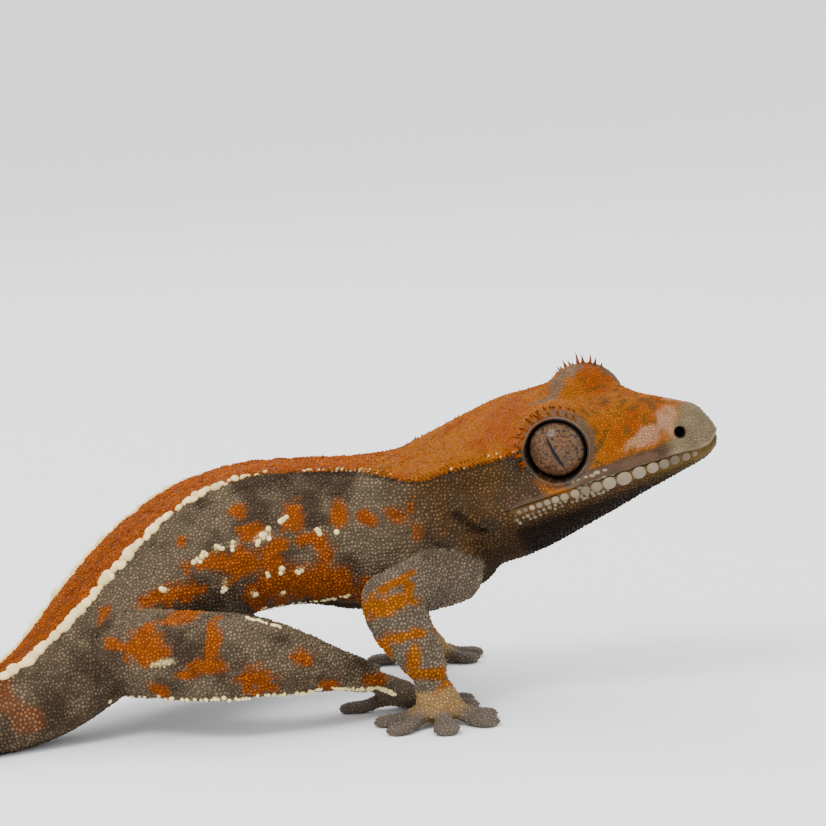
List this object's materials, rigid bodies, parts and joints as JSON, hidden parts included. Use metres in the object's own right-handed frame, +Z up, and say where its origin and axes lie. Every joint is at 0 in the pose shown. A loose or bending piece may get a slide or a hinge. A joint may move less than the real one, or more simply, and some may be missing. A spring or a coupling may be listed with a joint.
{
  "type": "crested gecko",
  "caption": "Young crested gecko at life size as a still model, standing low with head turned and raised, spined brows and crests, and a full curved tail.",
  "frame": {"origin": "middle of the bounding box on the floor that hands, feet and tail rest on", "axes": "+X towards the head, +Y to the animal's left, +Z up"},
  "size_m": [0.1124, 0.0438, 0.0302],
  "materials": {
    "scaly_skin": "matte, finely beaded",
    "crest_skin": "matte, finely beaded, with pointed scales",
    "foot_skin": "matte",
    "eye": "wet gloss"
  },
  "bodies": {
    "root": {"head": "crest_skin", "lower_jaw": "scaly_skin", "eye_right": "eye", "eye_left": "eye", "neck": "crest_skin", "thorax": "crest_skin", "abdomen": "crest_skin", "pelvis": "crest_skin", "tail_base": "scaly_skin", "tail_middle": "scaly_skin", "tail_tip": "scaly_skin", "upper_arm_right": "scaly_skin", "forearm_right": "scaly_skin", "hand_right": "foot_skin", "thigh_right": "scaly_skin", "shank_right": "scaly_skin", "foot_right": "foot_skin", "upper_arm_left": "scaly_skin", "forearm_left": "scaly_skin", "hand_left": "foot_skin", "thigh_left": "scaly_skin", "shank_left": "scaly_skin", "foot_left": "foot_skin"}
  },
  "joints": []
}
